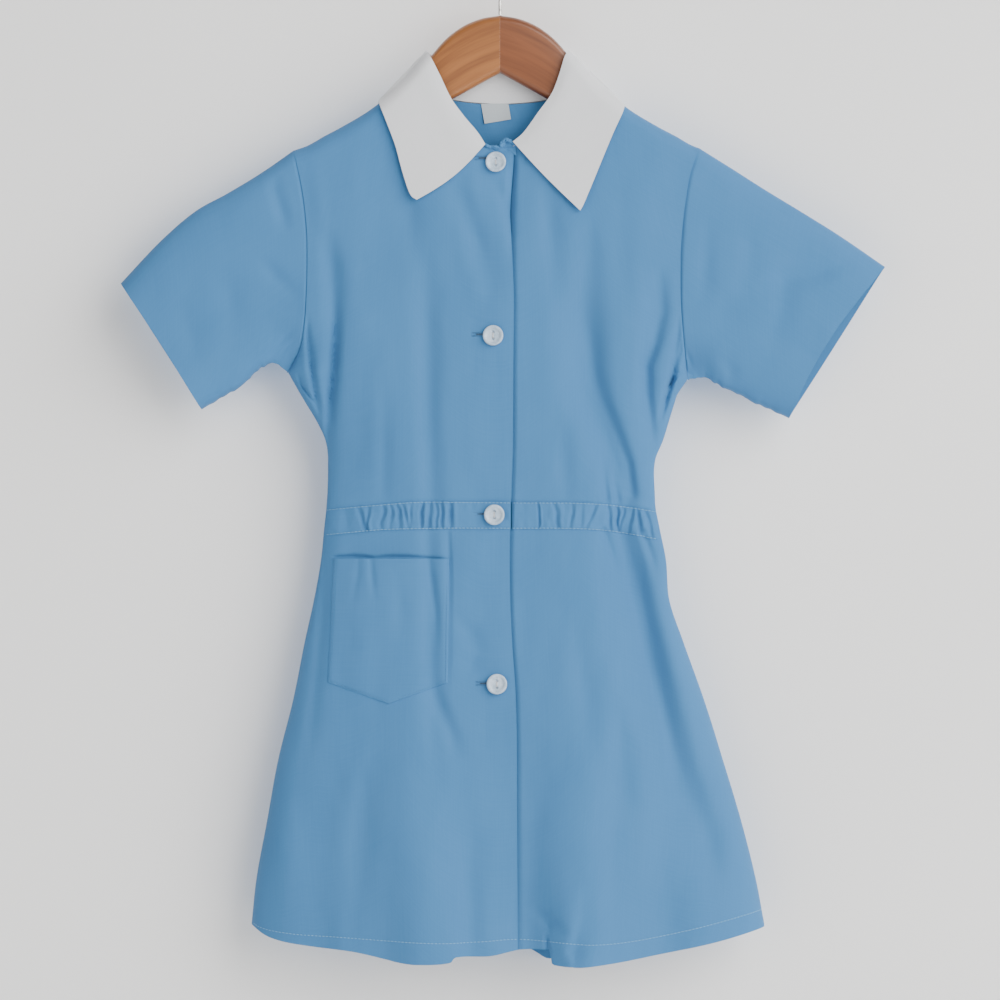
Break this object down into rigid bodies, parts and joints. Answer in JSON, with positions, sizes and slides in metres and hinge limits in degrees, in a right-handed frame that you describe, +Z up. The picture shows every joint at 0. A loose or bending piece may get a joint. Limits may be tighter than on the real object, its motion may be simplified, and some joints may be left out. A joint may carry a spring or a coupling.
{
  "type": "uniform dress on a hanger",
  "caption": "Child's short-sleeved button-front uniform dress with a pointed collar, elastic waist casing and patch pocket, hung flat on an arched wooden hanger.",
  "frame": {"origin": "inner crown of the hanger's hook, where a rail or a peg carries it", "axes": "+Z up, front of the dress faces -Y, wearer's left at +X"},
  "size_m": [0.5567, 0.0793, 0.7566],
  "materials": {
    "blue_cotton": "light blue plain-weave cotton, matt, softly creased",
    "white_cotton": "white plain-weave cotton, matt, pressed",
    "woven_label": "blank pale woven tape",
    "white_button": "white, softly glossy, raised rim",
    "varnished_wood": "orange-brown varnished wood, satin",
    "bright_wire": "bright steel wire"
  },
  "bodies": {
    "root": {"front_right": "blue_cotton", "front_left": "blue_cotton", "back": "blue_cotton", "sleeve_right": "blue_cotton", "sleeve_left": "blue_cotton", "collar": "white_cotton", "waist_band_right_front": "blue_cotton", "waist_band_left_front": "blue_cotton", "waist_band_back": "blue_cotton", "pocket": "blue_cotton", "label": "woven_label", "button_1": "white_button", "button_2": "white_button", "button_3": "white_button", "button_4": "white_button", "hanger_arm_right": "varnished_wood", "hanger_arm_left": "varnished_wood", "hanger_hook": "bright_wire"}
  },
  "joints": []
}
